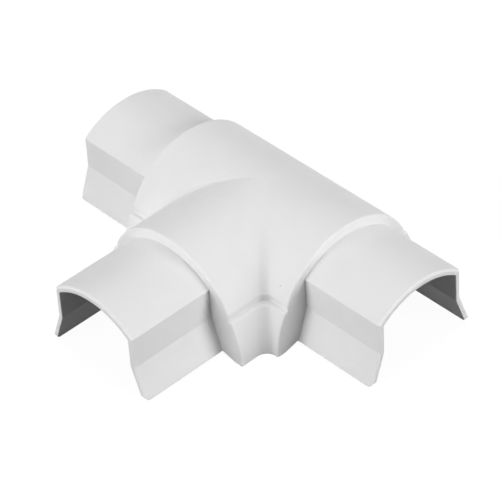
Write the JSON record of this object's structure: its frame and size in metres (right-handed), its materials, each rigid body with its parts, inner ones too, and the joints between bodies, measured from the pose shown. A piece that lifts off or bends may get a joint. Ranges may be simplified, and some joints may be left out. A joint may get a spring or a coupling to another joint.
{
  "type": "trunking tee fitting",
  "caption": "Tee for half-round cable trunking: an arched thin-walled moulding, open underneath, with shoulders for the cover ends and spigots that slide under the covers.",
  "frame": {"origin": "centre of the bounding box in the plane of the rim that meets the mounting surface", "axes": "+X along the straight run, -Y along the branch, +Z away from the mounting surface"},
  "size_m": [0.085, 0.0654, 0.0214],
  "materials": {
    "pvc": "moulded white, low sheen"
  },
  "bodies": {
    "root": {"tee_fitting": "pvc"}
  },
  "joints": []
}
